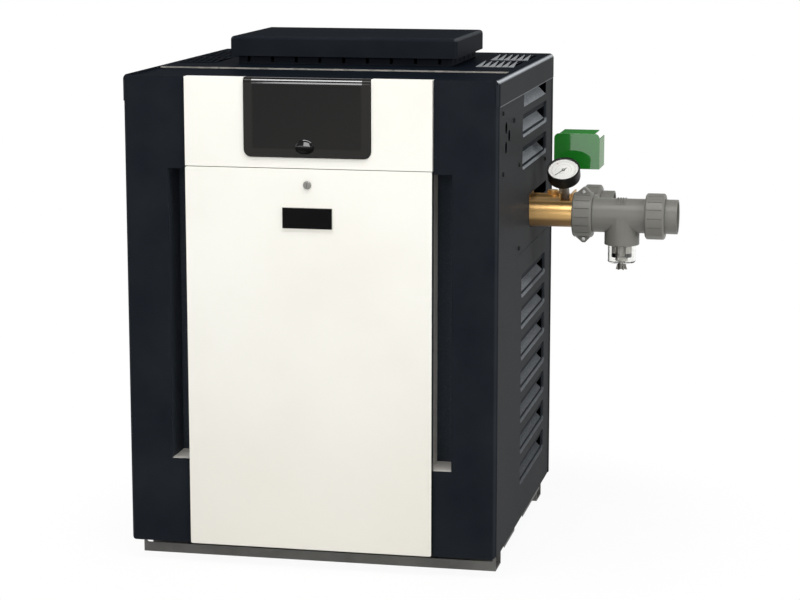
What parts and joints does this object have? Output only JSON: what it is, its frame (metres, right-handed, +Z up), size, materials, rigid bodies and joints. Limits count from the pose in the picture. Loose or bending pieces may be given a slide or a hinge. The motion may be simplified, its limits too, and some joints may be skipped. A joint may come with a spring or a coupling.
{
  "type": "gas pool heater",
  "caption": "Floor-standing gas pool heater: louvred steel cabinet, vent hood, flip-up control cover, drop-down door and water unions with a gauge and an anode tee.",
  "frame": {"origin": "on the floor, under the middle of the whole object's box, pipes included", "axes": "+X towards the water pipes on the viewer's right, +Y from the door to the back, +Z up"},
  "size_m": [1.01, 0.7096, 0.994],
  "materials": {
    "black_powder_coat": "smooth black powder coat",
    "grey_powder_coat": "speckled charcoal powder coat",
    "ivory_enamel": "ivory gloss enamel",
    "galvanised": "galvanised sheet",
    "base_grey": "grey primer",
    "smoked_plastic": "smoked gloss plastic",
    "black_plastic": "black moulded plastic",
    "key_grey": "grey rubber key",
    "display": "plain display window",
    "board_green": "green circuit laminate",
    "lamination_steel": "steel laminations",
    "steel": "plated steel",
    "refractory": "fibre refractory board",
    "copper": "copper tube",
    "bronze": "cast bronze",
    "grey_pvc": "grey moulded plastic",
    "clear_plastic": "clear moulded plastic",
    "zinc": "cast zinc alloy",
    "dark_metal": "dark coated metal",
    "rubber": "rubber",
    "dial_white": "white printed dial",
    "needle_black": "black",
    "glass": "clear lens",
    "green_plastic": "green gloss plastic",
    "red_plastic": "red moulded plastic"
  },
  "bodies": {
    "cabinet": {"base_pan": "galvanised", "front_base_channel": "base_grey", "rear_base_channel": "base_grey", "left_side_panel": "grey_powder_coat", "right_side_panel": "grey_powder_coat", "header_access_panel": "grey_powder_coat", "rear_panel": "grey_powder_coat", "top_panel": "black_powder_coat", "vent_collar": "black_powder_coat", "vent_hood": "black_powder_coat", "upper_fascia": "ivory_enamel", "left_slot_pocket": "black_powder_coat", "right_slot_pocket": "black_powder_coat", "control_shelf": "galvanised", "flip_cover_pin": "steel", "control_bezel": "black_plastic", "display_window": "display", "control_board": "board_green", "transformer": "lamination_steel", "combustion_chamber": "refractory", "burner_rack": "galvanised", "gas_manifold": "dark_metal", "gas_valve": "zinc", "gas_inlet_pipe": "dark_metal", "igniter": "refractory", "heat_exchanger": "copper", "return_header": "bronze", "inlet_outlet_header": "bronze", "flue_collector": "galvanised", "high_limit_switch": "steel", "water_sensor": "bronze", "pressure_switch": "black_plastic", "clamp_front_half": "grey_pvc", "clamp_rear_half": "grey_pvc", "anode_tee": "grey_pvc", "outlet_tailpiece": "grey_pvc", "inlet_tailpiece": "grey_pvc", "outlet_union_seal": "rubber", "inlet_union_seal": "rubber", "gauge_case": "black_plastic", "gauge_stem": "steel", "gauge_dial": "dial_white", "gauge_lens": "glass", "splash_guard": "green_plastic", "guard_bracket": "steel"},
    "door": {"front_door": "ivory_enamel"},
    "lock": {"door_lock": "steel", "lock_cam": "galvanised"},
    "cover": {"flip_cover": "smoked_plastic"},
    "menu_key": {"key_menu": "key_grey"},
    "down_key": {"key_down": "key_grey"},
    "up_key": {"key_up": "key_grey"},
    "mode_key": {"key_mode": "key_grey"},
    "gas_knob": {"gas_valve_knob": "red_plastic"},
    "needle": {"gauge_pointer": "needle_black"},
    "outlet_nut": {"outlet_union_nut": "grey_pvc"},
    "inlet_nut": {"inlet_union_nut": "grey_pvc"},
    "anode": {"anode_cap": "clear_plastic", "anode_rod": "zinc"},
    "anode_wing": {"anode_wing_nut": "dark_metal"}
  },
  "joints": [
    {"name": "door_tilt", "type": "hinge", "parent": "cabinet", "child": "door", "pos_m": [-0.146, -0.34725, 0.0394], "axis": [1, 0, 0], "range_deg": [0, 20]},
    {"name": "lock_turn", "type": "hinge", "parent": "door", "child": "lock", "pos_m": [-0.146, -0.34725, 0.7395], "axis": [0, -1, 0], "range_deg": [-90, 0]},
    {"name": "flip_cover_lift", "type": "hinge", "parent": "cabinet", "child": "cover", "pos_m": [-0.146, -0.33975, 0.927], "axis": [-1, 0, 0], "range_deg": [0, 95]},
    {"name": "menu_key_press", "type": "slide", "parent": "cabinet", "child": "menu_key", "axis": [0, 1, 0], "range_m": [0, 0.0015], "stiffness_N_per_m": 400},
    {"name": "down_key_press", "type": "slide", "parent": "cabinet", "child": "down_key", "axis": [0, 1, 0], "range_m": [0, 0.0015], "stiffness_N_per_m": 400},
    {"name": "up_key_press", "type": "slide", "parent": "cabinet", "child": "up_key", "axis": [0, 1, 0], "range_m": [0, 0.0015], "stiffness_N_per_m": 400},
    {"name": "mode_key_press", "type": "slide", "parent": "cabinet", "child": "mode_key", "axis": [0, 1, 0], "range_m": [0, 0.0015], "stiffness_N_per_m": 400},
    {"name": "gas_knob_turn", "type": "hinge", "parent": "cabinet", "child": "gas_knob", "pos_m": [-0.286, -0.30265, 0.096], "axis": [0, -1, 0], "range_deg": [0, 90]},
    {"name": "gauge_needle", "type": "hinge", "parent": "cabinet", "child": "needle", "pos_m": [0.275, 0.07285, 0.7281], "axis": [0, 0.6101, -0.7923], "range_deg": [0, 270]},
    {"name": "outlet_nut_turn", "type": "hinge", "parent": "cabinet", "child": "outlet_nut", "pos_m": [0.4611, 0.06675, 0.641], "axis": [1, 0, 0], "continuous": true},
    {"name": "inlet_nut_turn", "type": "hinge", "parent": "cabinet", "child": "inlet_nut", "pos_m": [0.32345, 0.17875, 0.641], "axis": [1, 0, 0], "continuous": true},
    {"name": "anode_cap_turn", "type": "hinge", "parent": "cabinet", "child": "anode", "pos_m": [0.3944, 0.06675, 0.5833], "axis": [0, 0, 1], "continuous": true},
    {"name": "anode_wing_turn", "type": "hinge", "parent": "anode", "child": "anode_wing", "pos_m": [0.3944, 0.06675, 0.5833], "axis": [0, 0, 1], "continuous": true}
  ]
}
